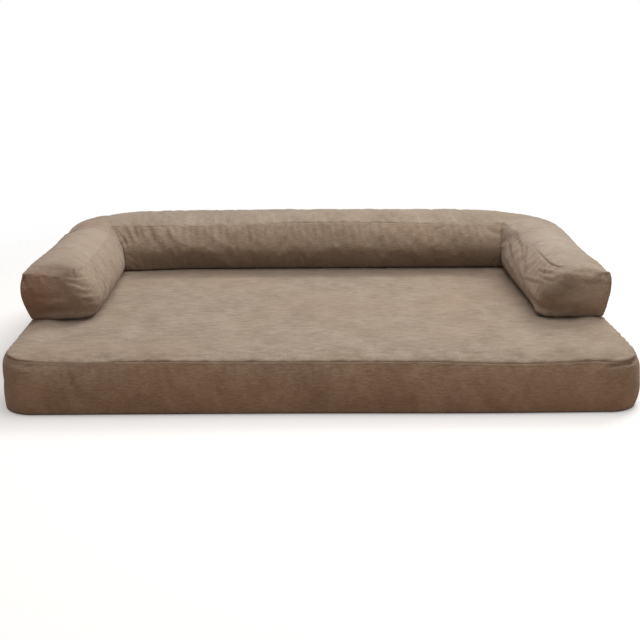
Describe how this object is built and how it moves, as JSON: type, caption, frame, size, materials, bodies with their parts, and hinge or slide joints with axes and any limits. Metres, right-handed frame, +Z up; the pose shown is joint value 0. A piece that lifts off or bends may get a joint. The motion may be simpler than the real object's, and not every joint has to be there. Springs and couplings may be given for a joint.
{
  "type": "dog sofa bed",
  "caption": "Rectangular foam pet mattress in a zipped woven cover, with a lift-off three-sided padded bolster that forms a back and two arms.",
  "frame": {"origin": "on the floor, under the middle of the mattress", "axes": "+X to the right along the bed's width, +Y from the open front to the back, +Z up"},
  "size_m": [1.3, 0.86, 0.2512],
  "materials": {
    "cover_cloth": "woven",
    "base_cloth": "coarse non-slip cloth",
    "liner_film": "thin coated film",
    "memory_foam": "open-cell foam",
    "support_foam": "open-cell foam",
    "fibre_filling": "loose fibre",
    "zip_tape": "woven tape",
    "zip_coil": "moulded coil",
    "zip_metal": "antique tone",
    "hook_and_loop": "hook and loop"
  },
  "bodies": {
    "mattress": {"mattress_top_panel": "cover_cloth", "mattress_side_band": "cover_cloth", "mattress_rear_upper_strip": "cover_cloth", "mattress_rear_lower_strip": "cover_cloth", "mattress_base_panel": "base_cloth", "waterproof_liner": "liner_film", "memory_foam_topper": "memory_foam", "support_foam_base": "support_foam", "mattress_zip_upper_tape": "zip_tape", "mattress_zip_lower_tape": "zip_tape", "mattress_zip_coil": "zip_coil", "mattress_zip_stops": "zip_metal", "hook_strips": "hook_and_loop"},
    "bolster": {"bolster_top_panel": "cover_cloth", "bolster_inner_left": "cover_cloth", "bolster_inner_back": "cover_cloth", "bolster_inner_right": "cover_cloth", "bolster_outer_left": "cover_cloth", "bolster_outer_right": "cover_cloth", "bolster_rear_upper_strip": "cover_cloth", "bolster_rear_lower_strip": "cover_cloth", "bolster_base_panel": "base_cloth", "bolster_fill_left": "fibre_filling", "bolster_fill_back": "fibre_filling", "bolster_fill_right": "fibre_filling", "bolster_zip_upper_tape": "zip_tape", "bolster_zip_lower_tape": "zip_tape", "bolster_zip_coil": "zip_coil", "bolster_zip_stops": "zip_metal", "loop_strips": "hook_and_loop"},
    "mattress_zip_slider": {"mattress_zip_slider": "zip_metal"},
    "mattress_zip_pull": {"mattress_zip_pull": "zip_metal"},
    "bolster_zip_slider": {"bolster_zip_slider": "zip_metal"},
    "bolster_zip_pull": {"bolster_zip_pull": "zip_metal"}
  },
  "joints": [
    {"name": "bolster_lift", "type": "slide", "parent": "mattress", "child": "bolster", "axis": [0, 0, 1], "range_m": [0, 0.25]},
    {"name": "mattress_zip_travel", "type": "slide", "parent": "mattress", "child": "mattress_zip_slider", "axis": [-1, 0, 0], "range_m": [0, 1.064]},
    {"name": "mattress_pull_swing", "type": "hinge", "parent": "mattress_zip_slider", "child": "mattress_zip_pull", "pos_m": [0.532, 0.42395, 0.036], "axis": [0, 0, -1], "range_deg": [0, 170]},
    {"name": "bolster_zip_travel", "type": "slide", "parent": "bolster", "child": "bolster_zip_slider", "axis": [-1, 0, 0], "range_m": [0, 0.79]},
    {"name": "bolster_pull_swing", "type": "hinge", "parent": "bolster_zip_slider", "child": "bolster_zip_pull", "pos_m": [0.395, 0.40695, 0.1522], "axis": [0, 0, -1], "range_deg": [0, 170]}
  ]
}
